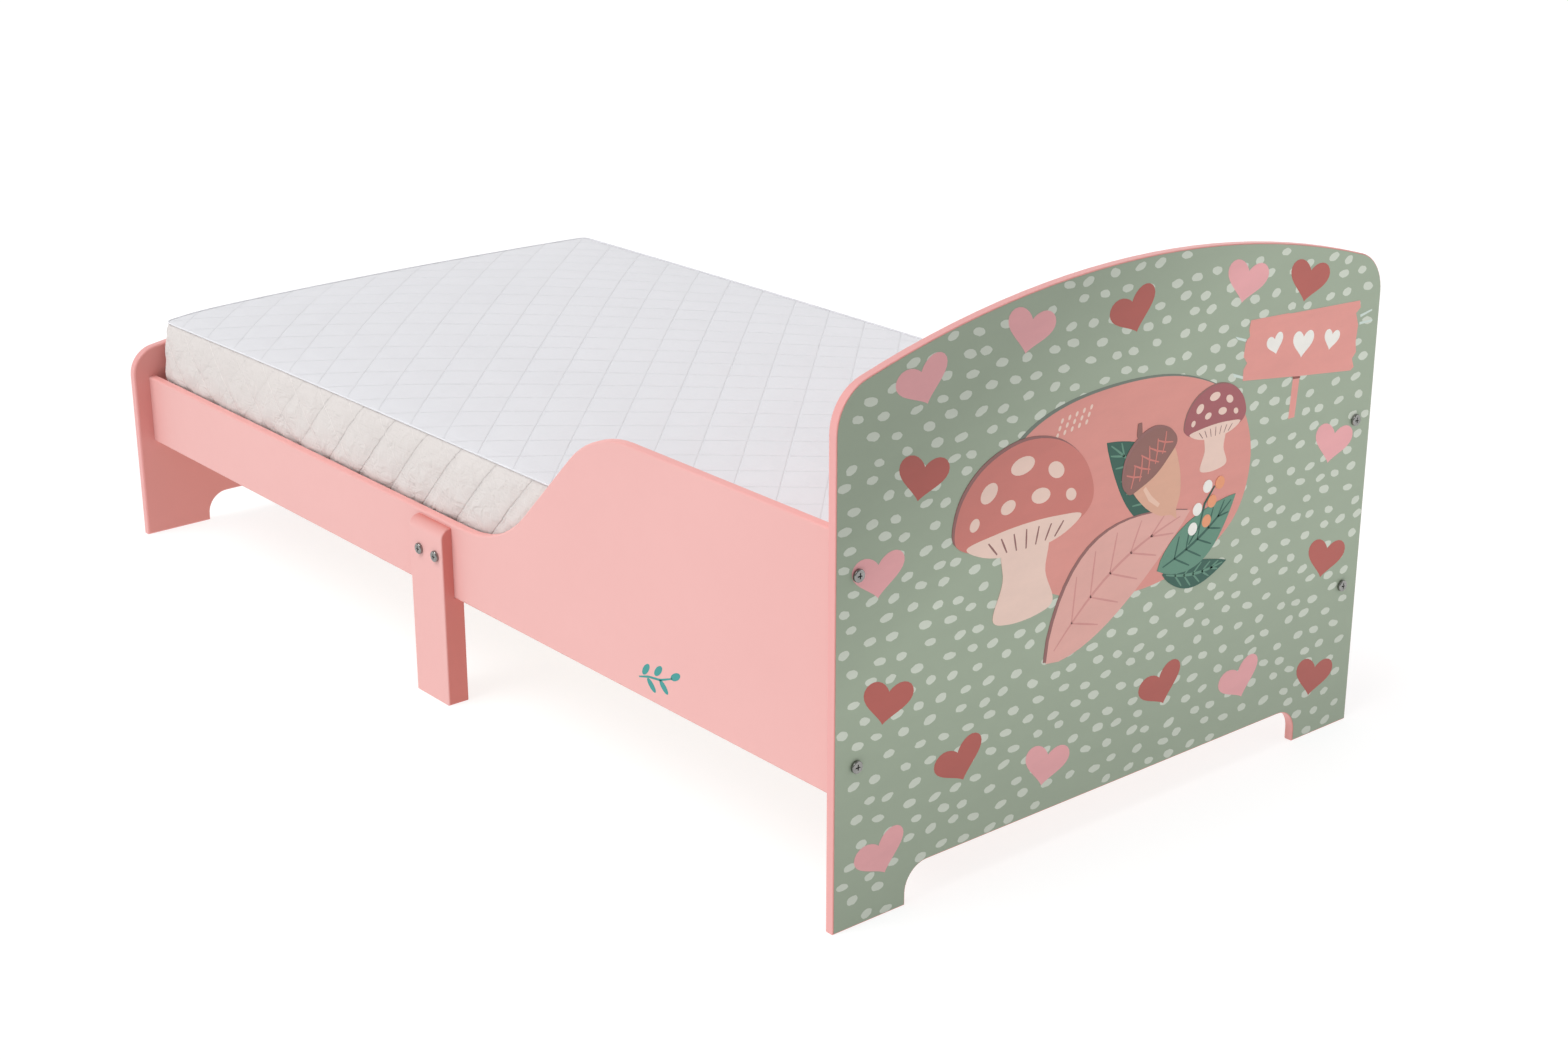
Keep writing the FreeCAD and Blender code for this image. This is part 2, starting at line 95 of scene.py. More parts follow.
FLOOR_TONE = colour(136, 136, 136)
FLOOR_GLOW = 0.80
INK = {
    "sage": (159, 173, 151),
    "spot": (208, 215, 201),
    "pink": (237, 168, 171),
    "red": (183, 88, 78),
    "salmon": (225, 148, 138),
    "shadow": (112, 122, 110),
    "plaque": (231, 153, 144),
    "splinter": (208, 222, 214),
    "nail": (138, 76, 66),
    "cap": (208, 121, 111),
    "outline": (146, 98, 94),
    "cream": (240, 208, 194),
    "rose": (166, 88, 94),
    "petal": (230, 172, 162),
    "vein": (215, 148, 142),
    "nut": (226, 172, 146),
    "glint": (240, 198, 176),
    "brown": (144, 96, 88),
    "forest": (28, 88, 72),
    "leaf": (92, 142, 120),
    "white": (246, 242, 236),
    "berry": (238, 156, 112),
    "teal": (40, 150, 145),
}


class Nodes:
    """Short ways to add nodes to a shader's tree."""

    def __init__(self, tree):
        self.tree = tree

    def feed(self, socket, value):
        """Sets a socket to a number or a colour, or links it to another node's output."""
        if isinstance(value, bpy.types.NodeSocket):
            self.tree.links.new(value, socket)
        else:
            socket.default_value = value

    def node(self, kind, sockets, **settings):
        made = self.tree.nodes.new("ShaderNode" + kind)
        for name, value in settings.items():
            setattr(made, name, value)
        for name, value in sockets.items():
            self.feed(made.inputs[name], value)
        return made

    def split(self, vector):
        """The X, Y and Z of a vector."""
        return self.node("SeparateXYZ", {"Vector": vector}).outputs

    def ramp(self, value, start, end, low, high, curve="LINEAR"):
        """A value that goes from low to high while the one given goes from start to end."""
        sockets = {"Value": value, "From Min": start, "From Max": end, "To Min": low, "To Max": high}
        return self.node("MapRange", sockets, interpolation_type=curve).outputs["Result"]

    def spread(self, value, low, high):
        """A 0 to 1 value spread over low to high."""
        return self.ramp(value, 0.0, 1.0, low, high)

    def calc(self, operation, a, b=None):
        """One step of arithmetic, on one value or two."""
        made = self.node("Math", {}, operation=operation)
        self.feed(made.inputs[0], a)
        if b is not None:
            self.feed(made.inputs[1], b)
        return made.outputs[0]

    def mix(self, share, a, b):
        """A colour that is a where the share is 0 and b where it is 1."""
        made = self.node("Mix", {}, data_type="RGBA")
        for index, value in ((0, share), (6, a), (7, b)):
            self.feed(made.inputs[index], value)
        return made.outputs[2]

    def bump(self, height, distance, strength=1.0, below=None):
        """A fine relief, on top of the one below it if there is one."""
        sockets = {"Height": height, "Distance": distance, "Strength": strength}
        if below:
            sockets["Normal"] = below
        return self.node("Bump", sockets).outputs["Normal"]


class Look(Nodes):
    """A material, with its patterns placed on the object."""

    def __init__(self, name, **sockets):
        self.material = bpy.data.materials.new(name)
        self.material.use_nodes = True
        super().__init__(self.material.node_tree)
        self.surface = self.tree.nodes["Principled BSDF"]
        self.place = self.node("TexCoord", {}).outputs["Object"]
        self.finish(**sockets)

    def finish(self, **sockets):
        """Feeds the surface's sockets, their spaces written as underscores, and gives the material."""
        for name, value in sockets.items():
            self.feed(self.surface.inputs[name.replace("_", " ")], value)
        return self.material

    def stretched(self, scale, turn=(0, 0, 0)):
        """The place on the object, scaled differently along each axis."""
        sockets = {"Vector": self.place, "Scale": scale, "Rotation": turn}
        return self.node("Mapping", sockets).outputs["Vector"]

    def noise(self, scale, detail=3.0, roughness=0.5, where=None, distortion=0.0):
        """Soft patches, 0 to 1: the higher the scale, the smaller they are."""
        sockets = {"Vector": where or self.place, "Scale": scale, "Detail": detail,
                   "Roughness": roughness, "Distortion": distortion}
        return self.node("TexNoise", sockets).outputs["Fac"]


def shade(base, factor):
    """A colour made lighter or darker."""
    return tuple(min(1.0, c * factor) for c in base[:3]) + (1.0,)


def painted_board(name, thin_along, deep, pale, edge):
    """Satin pink lacquer on fibreboard: faint roller texture, uneven sheen, its own tone on sawn edges. The
    end boards' face tones and the legs' edge tone also hold painted shade.
    """
    look = Look(name, Coat_Weight=0.10, Coat_Roughness=0.25, Specular_IOR_Level=0.35)
    facing = look.split(look.node("TexCoord", {}).outputs["Normal"])
    on_face = look.calc("ABSOLUTE", facing[thin_along])
    cloudy = look.noise(3.5, 4.0)
    fine = look.noise(60.0, 2.0)
    paint = look.mix(cloudy, deep, pale)
    paint = look.mix(look.spread(fine, 0.0, 0.12), paint, shade(pale, 0.9))
    paint = look.mix(on_face, edge, paint)
    peel = look.noise(420.0, 2.0)
    waves = look.noise(28.0, 2.0)
    normal = look.bump(peel, 0.00010, 0.5)
    normal = look.bump(waves, 0.00025, 0.5, normal)
    return look.finish(Base_Color=paint, Roughness=look.spread(fine, 0.36, 0.50), Normal=normal)


def printed(name, ink, mottle):
    """Ink on foil: a painterly, slightly mottled tone under a satin film, darkened with painted shade
    towards the foot and the upper near corner.
    """
    look = Look(name, Coat_Weight=0.05, Coat_Roughness=0.30)
    brushed = look.noise(14.0, 5.0, 0.6, look.stretched((1.0, 1.0, 3.5), (0.35, 0.0, 0.0)))
    grain = look.noise(160.0, 3.0)
    tone = look.mix(brushed, shade(ink, 1 - mottle), shade(ink, 1 + mottle))
    tone = look.mix(look.spread(grain, 0.0, 0.25), tone, shade(ink, 1.12))
    # Painted shade: every ink darkens towards the board's foot and towards its upper near corner.
    place = look.split(look.place)
    slant = look.calc("SUBTRACT", place["Z"], look.calc("MULTIPLY", place["Y"], PAINTED_SHADE_SLANT))
    for height, shade_span, share in ((place["Z"], FOOT_PAINTED_SHADE, FOOT_PAINTED_SHADE_SHARE),
                                (slant, CORNER_PAINTED_SHADE, CORNER_PAINTED_SHADE_SHARE)):
        tone = look.mix(look.ramp(height, *shade_span, 0.0, share), tone, shade(ink, PAINTED_SHADE_TONE))
    film = look.bump(look.noise(300.0, 2.0), 0.00008, 0.5)
    return look.finish(Base_Color=tone, Roughness=look.spread(grain, 0.38, 0.52), Normal=film)


def timber(name, pale, dark, along):
    """Planed wood, its grain along one axis: 0 for X, 1 for Y."""
    look = Look(name)
    squeeze = [26.0, 26.0, 26.0]
    squeeze[along] = 1.3
    where = look.stretched(squeeze)
    wander = look.noise(1.6, 3.0, 0.55, where)
    bands = look.calc("FRACT", look.calc("MULTIPLY", wander, 9.0))
    squeeze = [420.0, 420.0, 420.0]
    squeeze[along] = 12.0
    fibres = look.noise(1.0, 4.0, 0.6, look.stretched(squeeze))
    wood = look.mix(look.spread(bands, 0.0, 0.75), pale, dark)
    wood = look.mix(look.spread(fibres, 0.0, 0.5), wood, shade(dark, 0.8))
    normal = look.bump(fibres, 0.00025, 0.6)
    return look.finish(Base_Color=wood, Roughness=look.spread(fibres, 0.55, 0.75), Normal=normal)


def zinc():
    """Bright zinc plate with fine tumbling marks."""
    look = Look("bright_zinc", Metallic=1.0)
    marks = look.noise(900.0, 3.0)
    cloudy = look.noise(180.0, 2.0)
    metal = look.mix(cloudy, colour(118, 118, 117), colour(166, 165, 162))
    return look.finish(Base_Color=metal, Roughness=look.spread(marks, 0.14, 0.30),
                       Normal=look.bump(marks, 0.00004, 0.6))


def sewing(look):
    """The quilt's crossing lines: how flat each family leaves the cloth, and where thread shows, 0 to 1.

    The attribute read here holds each place on the flat cloth, and how tightly the first family is sewn."""
    across, down, pull = look.split(look.node("Attribute", {}, attribute_name="cloth").outputs["Vector"])
    plus = look.calc("ADD", across, down)
    minus = look.calc("SUBTRACT", across, down)
    patchy = look.spread(look.noise(9.0, 3.0), 0.35, 1.0)
    flats, threads = [], []
    for line, along, tight in ((plus, minus, pull), (minus, plus, look.calc("SUBTRACT", 1.0, pull))):
        share = look.calc("FRACT", look.calc("ADD", look.calc("DIVIDE", line, QUILT_PITCH), 0.5))
        off_line = look.calc("ABSOLUTE", look.calc("SUBTRACT", share, 0.5))
        away = look.calc("MULTIPLY", off_line, QUILT_PITCH / math.sqrt(2))
        full = look.calc("MINIMUM", look.calc("MULTIPLY", tight, PULL_GAIN), 1.0)
        depth = look.calc("MULTIPLY", full, patchy)
        drawn = look.ramp(away, 0.0, DRAWN_IN, depth, 0.0, "SMOOTHSTEP")
        flats.append(look.calc("SUBTRACT", 1.0, drawn))
        dash = look.calc("FRACT", look.calc("DIVIDE", along, STITCH * math.sqrt(2)))
        on_line = look.calc("LESS_THAN", away, THREAD / 2)
        threads.append(look.calc("MULTIPLY", on_line, look.calc("LESS_THAN", dash, STITCH_SHARE)))
    return flats, look.calc("MAXIMUM", *threads)


def quilt_cloth(name, tone, crease, painted_line_lights):
    """A soft knitted ticking, quilted: fine ribs, small creases, sewn lines and a matt sheen.

    The crease is how deep the small creases are. The painted line lights tint the two families of sewn
    lines: below 1 as painted shade in their grooves, above 1 as a painted highlight on their ridges."""
    look = Look(name, Sheen_Weight=0.2, Sheen_Roughness=0.5, Specular_IOR_Level=0.2)
    flats, thread = sewing(look)
    ribs = []
    for direction in "XYZ":
        sockets = {"Vector": look.place, "Scale": KNIT, "Distortion": 0.6, "Detail": 1.0}
        ribs.append(look.node("TexWave", sockets, bands_direction=direction).outputs["Fac"])
    weave = look.calc("MULTIPLY", look.calc("ADD", ribs[0], ribs[1]), look.calc("ADD", ribs[2], 0.6))
    fuzz = look.noise(700.0, 3.0)
    cloudy = look.noise(5.0, 4.0)
    folds = look.noise(46.0, 2.0, 0.55, distortion=0.8)
    ridges = look.calc("ABSOLUTE", look.calc("SUBTRACT", folds, 0.5))
    cloth = look.mix(cloudy, shade(tone, 0.965), shade(tone, 1.02))
    cloth = look.mix(look.spread(weave, 0.0, 0.08), cloth, shade(tone, 0.86))
    # Painted light along the sewn lines: shade in their grooves, and on the border a highlight on one
    # family's ridges.
    for flat, painted_line_light in zip(flats, painted_line_lights):
        cloth = look.mix(flat, shade(tone, painted_line_light), cloth)
    normal = look.bump(look.calc("MULTIPLY", *flats), 0.0012, 0.8)
    normal = look.bump(ridges, crease, 1.0, normal)
    normal = look.bump(thread, 0.0004, 0.7, normal)
    normal = look.bump(weave, 0.00018, 0.4, normal)
    normal = look.bump(fuzz, 0.00018, 0.4, normal)
    return look.finish(Base_Color=cloth, Roughness=look.spread(fuzz, 0.82, 0.97), Normal=normal)


def piping_cloth():
    """The bias strip round the seam cord, its fine ribs slanting."""
    look = Look("piping_cloth", Sheen_Weight=0.2, Sheen_Roughness=0.5, Specular_IOR_Level=0.2)
    where = look.stretched((1.0, 1.0, 1.0), (0.0, 0.0, math.radians(45)))
    ribs = look.node("TexWave", {"Vector": where, "Scale": 160.0, "Distortion": 0.5}).outputs["Fac"]
    cloudy = look.noise(30.0, 3.0)
    cloth = look.mix(cloudy, shade(TOP_TONE, 0.98), shade(TOP_TONE, 1.08))
    cloth = look.mix(look.spread(ribs, 0.0, 0.15), cloth, shade(TOP_TONE, 0.8))
    return look.finish(Base_Color=cloth, Roughness=look.spread(cloudy, 0.84, 0.96),
                       Normal=look.bump(ribs, 0.0002, 0.5))


def foam():
    """Cut foam, pale and full of fine cells."""
    look = Look("foam")
    cells = look.noise(500.0, 4.0)
    tone = look.mix(cells, colour(236, 228, 200), colour(248, 243, 222))
    return look.finish(Base_Color=tone, Roughness=look.spread(cells, 0.85, 0.98),
                       Normal=look.bump(cells, 0.0005))


def studio_floor():
    """A pale floor that glows a little, so that shadows on it stay faint."""
    look = Look("studio_floor", Emission_Color=(1.0, 1.0, 1.0, 1.0), Emission_Strength=FLOOR_GLOW)
    cloudy = look.noise(1.2, 2.0)
    tone = look.mix(cloudy, FLOOR_TONE, shade(FLOOR_TONE, 1.01))
    return look.finish(Base_Color=tone, Roughness=look.spread(cloudy, 0.75, 0.8))


MATERIAL = {"zinc": zinc(), "foam": foam(), "floor": studio_floor()}
for paint_name, (thin_along, *tones) in PAINT.items():
    MATERIAL[paint_name] = painted_board(paint_name, thin_along, *(colour(*tone) for tone in tones))
for ink_name, tone in INK.items():
    mottle = BOARD_MOTTLE if ink_name == "sage" else INK_MOTTLE
    MATERIAL[ink_name] = printed("ink_" + ink_name, colour(*tone), mottle)
MATERIAL["pine_across"] = timber("pine_across", *PINE, 1)
MATERIAL["pine_along"] = timber("pine_along", *PINE, 0)
MATERIAL["beech"] = timber("beech", *BEECH, 0)
# Sewn-line factors: the top's lines darkened as painted shade; on the border 1.24 is a painted highlight on
# the first family's ridges and 0.91 painted shade in the second's grooves.
MATERIAL["top_cloth"] = quilt_cloth("top_cloth", TOP_TONE, 0.0007, (0.965, 0.95))
MATERIAL["side_cloth"] = quilt_cloth("side_cloth", SIDE_TONE, 0.0040, (1.24, 0.91))
MATERIAL["piping_cloth"] = piping_cloth()


# ---- the CAD pieces keep their shapes and get these materials ----
FINISHES = (
    ("foil", "sage"), ("screws", "zinc"), ("bolts", "zinc"), ("nuts", "zinc"), ("dowels", "beech"),
    ("slat_", "pine_across"), ("cross_plank", "pine_across"), ("ledger", "pine_along"),
    ("mattress", "foam"), ("_panel", "end_paint_shaded_faces"), ("middle_leg", "leg_paint_shaded_edges"), ("side_rail", "rail_paint"),
)


def dress_cad_pieces():
    """Each piece gets the material of the first of these words that its name holds."""
    for name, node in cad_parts.items():
        finish = next(finish for word, finish in FINISHES if word in name)
        node.data.materials.clear()
        node.data.materials.append(MATERIAL[finish])


def linked(name, data):
    """A new object in the scene, holding a mesh, a lamp or a camera."""
    made = bpy.data.objects.new(name, data)
    bpy.context.scene.collection.objects.link(made)
    return made


# ---- flat shapes, as lists of (across, up) points in millimetres ----
CURVE_STEPS = 6
LEAST_STROKE = 0.35


def between(before, here, ahead, beyond, t):
    """The smooth curve through four even values, a share t of the way from the second to the third."""
    return 0.5 * (2 * here + (ahead - before) * t + (2 * before - 5 * here + 4 * ahead - beyond) * t ** 2
                  + (3 * here - before - 3 * ahead + beyond) * t ** 3)


def smooth_loop(points):
    """A closed curve through the points."""
    loop = []
    for i in range(len(points)):
        near = [points[(i + k) % len(points)] for k in (-1, 0, 1, 2)]
        for step in range(CURVE_STEPS):
            loop.append(tuple(between(*values, step / CURVE_STEPS) for values in zip(*near)))
    return loop


def turned(points, degrees, move=(0, 0)):
    c, s = math.cos(math.radians(degrees)), math.sin(math.radians(degrees))
    return [(x * c - y * s + move[0], x * s + y * c + move[1]) for x, y in points]


def moved(points, across, up):
    return [(x + across, y + up) for x, y in points]


def ellipse(centre, half_width, half_height, degrees=0, steps=20):
    angles = [2 * math.pi * i / steps for i in range(steps)]
    ring = [(half_width * math.cos(angle), half_height * math.sin(angle)) for angle in angles]
    return turned(ring, degrees, centre)


def heart(centre, width, height, degrees):
    """A heart with its notch up, turned by an angle: a curve 32 wide and 29 high, scaled to size."""
    ring = []
    steps = 40
    for i in range(steps):
        t = 2 * math.pi * (i + 0.5) / steps
        across = math.copysign(16 * abs(math.sin(t)) ** 2.4, math.sin(t))
        up = 13 * math.cos(t) - 5 * math.cos(2 * t) - 2 * math.cos(3 * t) - math.cos(4 * t)
        ring.append((across / 32 * width, (up + 2.5) / 29 * height))
    return turned(ring, degrees, centre)


def stroke(points, width):
    """A tapering brush line through the points."""
    left, right = [], []
    last = len(points) - 1
    for i, (x, y) in enumerate(points):
        ahead, behind = points[min(i + 1, last)], points[max(i - 1, 0)]
        along = Vector((ahead[0] - behind[0], ahead[1] - behind[1])).normalized()
        swell = math.sin(math.pi * (i + 0.6) / (last + 1.2))
        half = width / 2 * (LEAST_STROKE + (1 - LEAST_STROKE) * swell)
        left.append((x - along.y * half, y + along.x * half))
        right.append((x + along.y * half, y - along.x * half))
    return left + right[::-1]


# ---- ink, as thin raised prisms on a face ----
INK_LAYER = 0.05 * MM
head_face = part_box("headboard_print_foil")[1].x
foot_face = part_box("footboard_print_foil")[0].x
rail_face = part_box("side_rail_near")[0].y


def on_headboard(across, up, height):
    return Vector((head_face + height, across * MM, up * MM))


def on_footboard(across, up, height):
    return Vector((foot_face - height, -across * MM, up * MM))


def on_near_rail(across, up, height):
    return Vector((across * MM, rail_face - height, up * MM))


def ink_piece(name, loops, ink, layer, surface=on_headboard):
    """One printed colour: closed prisms from the face up to the layer's height, over lower layers."""
    mesh = bpy.data.meshes.new(name)
    shape = bmesh.new()
    for loop in loops:
        low = [shape.verts.new(surface(x, y, 0)) for x, y in loop]
        high = [shape.verts.new(surface(x, y, layer * INK_LAYER)) for x, y in loop]
        shape.faces.new(low[::-1])
        shape.faces.new(high)
        for i in range(len(loop)):
            j = (i + 1) % len(loop)
            shape.faces.new((low[i], low[j], high[j], high[i]))
    bmesh.ops.recalc_face_normals(shape, faces=shape.faces)
    shape.to_mesh(mesh)
    shape.free()
    mesh.materials.append(MATERIAL[ink])
    piece = linked(name, mesh)
    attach(piece, "frame")


# Spots, in millimetres: ranges for size and lean, and the most that they stray across and up.
SPOT_ROWS_APART = 20.0
SPOTS_APART = 33.0
FIRST_SPOT_ACROSS = 6.0
FIRST_SPOT_UP = 8.0
SPOT_STRAY = (7.0, 4.5)
SPOT_HALF_WIDTH = (6.6, 8.6)
SPOT_HALF_HEIGHT = (3.7, 4.8)
SPOT_LEAN = (-14, 16)
SPOT_STEPS = 14
SPOT_UNEVEN = (0.5, 0.4)
PROBE_FROM = 20.0 * MM
PROBE_REACH = 50.0 * MM


def strayed(rng, point, most):
    """A point moved by chance, either way, by no more than the two distances."""
    return tuple(value + rng.uniform(-far, far) for value, far in zip(point, most))


def spots(foil_node, surface, seed):
    """Pale brushed spots all over a board's foil, in loose staggered rows."""
    rng = random.Random(seed)
    low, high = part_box(foil_node)
    tree = BVHTree.FromObject(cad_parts[foil_node], bpy.context.evaluated_depsgraph_get())
    inward = surface(0, 0, 0) - surface(0, 0, 1)

    def on_foil(point):
        return tree.ray_cast(surface(*point, PROBE_FROM), inward, PROBE_REACH)[0] is not None

    loops = []
    up = low.z / MM + FIRST_SPOT_UP
    row = 0
    while up < high.z / MM:
        across = low.y / MM + FIRST_SPOT_ACROSS + (row % 2) * SPOTS_APART / 2
        while across < high.y / MM:
            centre = strayed(rng, (across, up), SPOT_STRAY)
            spot = ellipse(centre, rng.uniform(*SPOT_HALF_WIDTH), rng.uniform(*SPOT_HALF_HEIGHT),
                           rng.uniform(*SPOT_LEAN), SPOT_STEPS)
            spot = [strayed(rng, point, SPOT_UNEVEN) for point in spot]
            if all(on_foil(point) for point in spot):
                loops.append(spot)
            across += SPOTS_APART
        up += SPOT_ROWS_APART
        row += 1
    return loops


HEART_SIZE = (65.0, 43.0)
HEART_LEAN = 15

# Each heart's place across and up, and the way that it leans.
HEADBOARD_HEARTS = {
    "pink": [(-281, 530, 1), (-146, 554, -1), (162, 549, -1), (-333, 355, 0), (322, 343, -1),
             (-102, 92, -1), (193, 102, 1), (-325, 66, 1)],
    "red": [(-4, 547, 1), (261, 533, -1), (-280, 438, -1), (-320, 224, -1), (325, 210, -1),
            (-223, 133, 1), (66, 131, 1), (320, 70, -1)],
}
FOOTBOARD_HEARTS = {
    "pink": [(-290, 200, 1), (-60, 235, -1), (150, 110, 0), (300, 75, 1)],
    "red": [(-180, 120, -1), (40, 140, 1), (235, 210, -1), (-325, 70, -1)],
}


def print_hearts(board, hearts, surface):
    """A board's loose hearts, one piece for each colour."""
    for ink, places in hearts.items():
        loops = [heart((x, z), *HEART_SIZE, lean * HEART_LEAN) for x, z, lean in places]
        ink_piece("print_%s_hearts_%s" % (ink, board), loops, ink, 2, surface)


def print_plaque():
    """A little wooden sign with three hearts on it, on a post."""
    board = [(173, 507), (232, 504), (236, 503), (350, 497), (352, 489), (345, 484), (350, 470),
             (348, 452), (350, 440), (344, 434), (348, 424), (343, 421), (262, 431), (166, 444),
             (166, 456), (171, 462), (165, 470), (167, 486), (173, 490), (171, 498)]
    ink_piece("print_plaque", [board], "plaque", 3)
    post = [(247, 433), (258, 432), (254, 387), (244, 387)]
    ink_piece("print_plaque_post", [post], "plaque", 2)
    nail = [(246, 433), (259, 431), (258, 429), (247, 430)]
    ink_piece("print_plaque_nail", [nail], "nail", 4)
    hearts = [heart((x, z), size, size * 0.85, lean) for x, z, size, lean in
              ((214, 474, 26, 12), (259, 466, 34, -6), (306, 462, 26, -14))]
    ink_piece("print_plaque_hearts", hearts, "white", 4)
    slivers = [[(150, 494), (168, 488), (168, 485), (154, 490)],
               [(150, 455), (166, 449), (166, 446), (152, 451)],
               [(352, 481), (372, 484), (372, 482), (353, 478)],
               [(352, 473), (374, 472), (374, 470), (352, 470)]]
    ink_piece("print_plaque_slivers", slivers, "splinter", 3)


LEAF_STEPS = 16
LEAF_RIB = 3.2
LEAF_VEIN = 2.2
VEINS_AT = (0.2, 0.34, 0.48, 0.62, 0.75)
VEIN_RUN = 0.12
VEIN_REACH = 0.8


def leaf_shape(base, tip, width, bend):
    """A pointed leaf. Gives its outline, its midrib and its side veins."""
    base, tip = Vector(base), Vector(tip)
    along = tip - base
    across = Vector((-along.y, along.x)).normalized()

    def middle(t):
        return base + along * t + across * bend * math.sin(math.pi * t)

    def half(t):
        return width / 2 * math.sin(math.pi * t ** 0.85) ** 0.9

    steps = [i / LEAF_STEPS for i in range(LEAF_STEPS + 1)]
    upper = [tuple(middle(t) + across * half(t)) for t in steps]
    lower = [tuple(middle(t) - across * half(t)) for t in steps[1:-1]]
    rib = stroke([tuple(middle(t)) for t in steps[1:-1]], LEAF_RIB)
    veins = []
    for t in VEINS_AT:
        for side in (-1, 1):
            root = middle(t)
            end = middle(t + VEIN_RUN) + across * side * half(t + VEIN_RUN) * VEIN_REACH
            veins.append(stroke([tuple(root.lerp(end, u / 4)) for u in range(5)], LEAF_VEIN))
    return upper + lower[::-1], [rib] + veins


def print_leaf(name, base, tip, width, bend, ink, vein, layer):
    outline, veins = leaf_shape(base, tip, width, bend)
    ink_piece(name, [outline], ink, layer)
    ink_piece(name + "_veins", veins, vein, layer + 1)


def print_leaves():
    shadow, _ = leaf_shape((-112, 207), (92, 322), 92, 22)
    ink_piece("print_big_leaf_shadow", [shadow], "outline", 7)
    print_leaf("print_dark_leaf", (40, 318), (-34, 420), 60, -14, "forest", "leaf", 5)
    print_leaf("print_big_leaf", (-108, 205), (96, 320), 92, 22, "petal", "vein", 8)
    print_leaf("print_small_leaf", (58, 258), (158, 250), 30, -7, "forest", "leaf", 10)
    print_leaf("print_green_leaf", (50, 264), (166, 322), 54, -8, "leaf", "forest", 12)


def print_mushroom(name, foot, size, cap_ink, layer):
    """A toadstool: its foot's place, and its size against the large one."""
    def fit(points):
        return [(foot[0] + x * size, foot[1] + y * size) for x, y in points]

    stem = smooth_loop(fit([(-30, 86), (28, 84), (28, 44), (40, 10), (16, 0), (-22, 0), (-42, 10),
                            (-30, 46)]))
    cap = smooth_loop(fit([(-96, 108), (-86, 142), (-56, 170), (-8, 184), (40, 176), (76, 150),
                           (92, 114), (82, 92), (48, 80), (0, 76), (-54, 82), (-86, 92)]))
    gills = smooth_loop(fit([(-80, 92), (-42, 98), (0, 100), (42, 98), (76, 92), (48, 76), (0, 70),
                             (-50, 76)]))
    dots = [ellipse(fit([place])[0], across * size, up * size, lean)
            for place, across, up, lean in (((-52, 142), 12, 9, 32), ((-8, 160), 16, 9, 4),
                                            ((38, 146), 12, 8, -30), ((-26, 122), 10, 7, 10),
                                            ((18, 124), 13, 8, -8), ((60, 116), 8, 6, -36),
                                            ((-70, 114), 7, 6, 48))]
    folds = [stroke(fit([(13 * k, 74 + abs(k)), (15 * k, 84), (17 * k, 94 - abs(k))]), 2.2 * size)
             for k in (-3, -2, -1, 0, 1, 2, 3)]
    ink_piece(name + "_stem", [stem], "cream", layer)
    ink_piece(name + "_outline", [moved(cap, -3 * size, 3 * size)], "outline", layer + 1)
    ink_piece(name + "_cap", [cap], cap_ink, layer + 2)
    ink_piece(name + "_gills", [gills], "cream", layer + 3)
    ink_piece(name + "_dots", dots, "cream", layer + 3)
    ink_piece(name + "_folds", folds, "outline", layer + 4)


ACORN_TURN = 32
ACORN_PLACE = (40, 372)


def on_acorn(points):
    """Points of the upright acorn, leant over and put in its place."""
    return turned(points, ACORN_TURN, ACORN_PLACE)


def print_acorn():
    """An acorn, its cap hatched both ways."""
    nut = smooth_loop([(-32, 12), (-30, -18), (-18, -44), (-5, -56), (0, -66), (5, -56), (18, -44),
                       (30, -18), (32, 12), (0, 18)])
    cap = smooth_loop([(-40, 8), (-40, 24), (-24, 42), (0, 48), (24, 42), (40, 24), (40, 8), (22, 2),
                       (0, -1), (-22, 2)])
    ink_piece("print_acorn_nut_shadow", [moved(on_acorn(nut), -3, 3)], "outline", 10)
    ink_piece("print_acorn_nut", [on_acorn(nut)], "nut", 11)
    glint = stroke([(-20, -2), (-19, -18), (-13, -34)], 6)
    ink_piece("print_acorn_glint", [on_acorn(glint)], "glint", 12)
    stalk = stroke([(0, 44), (2, 54), (8, 64)], 8)
    ink_piece("print_acorn_stalk", [on_acorn(stalk)], "brown", 11)
    ink_piece("print_acorn_cap_shadow", [moved(on_acorn(cap), -3, 3)], "outline", 12)
    ink_piece("print_acorn_cap", [on_acorn(cap)], "brown", 13)
    for side, name, layer in ((-1, "print_acorn_hatch", 14), (1, "print_acorn_cross_hatch", 15)):
        hatch = []
        for k in range(-2, 3):
            middle_x = 13 * k
            hatch.append(on_acorn(stroke([(middle_x - side * 9, 8 + 2 * abs(k)), (middle_x, 20),
                                          (middle_x + side * 7, 33 - 2 * abs(k))], 2.0)))
        ink_piece(name, hatch, "cap", layer)


def print_berries():
    twig = stroke([(96, 282), (112, 300), (118, 322), (132, 338)], 2.6)
    ink_piece("print_berry_twig", [twig], "forest", 14)
    for name, ink, places in (
            ("print_berries", "white", ((101, 298), (107, 318), (121, 340))),
            ("print_berries_ripe", "berry", ((122, 302), (129, 322), (140, 340)))):
        ink_piece(name, [ellipse(place, 7, 7, 0, 16) for place in places], ink, 15)


